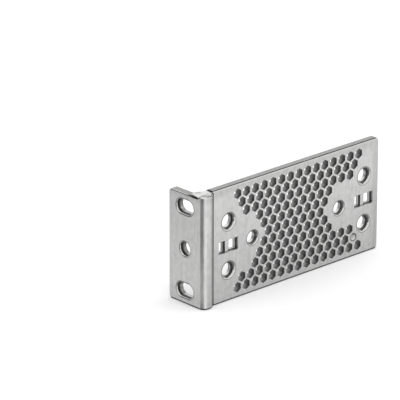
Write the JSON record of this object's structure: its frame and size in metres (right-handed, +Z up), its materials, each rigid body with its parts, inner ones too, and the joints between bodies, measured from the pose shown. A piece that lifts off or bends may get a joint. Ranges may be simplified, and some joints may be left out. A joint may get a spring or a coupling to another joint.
{
  "type": "rack mount ear bracket",
  "caption": "One-unit rack ear: an L-section bracket with a slotted ear, a corner bead and a plate full of hexagonal vents.",
  "frame": {"origin": "middle of the footprint's bounding box, at floor level", "axes": "+X along the plate, away from the ear; +Y the way the ear points; +Z up"},
  "size_m": [0.0886, 0.0182, 0.0436],
  "materials": {
    "bare_metal": "satin, fine vertical grain"
  },
  "bodies": {
    "root": {"bracket": "bare_metal"}
  },
  "joints": []
}
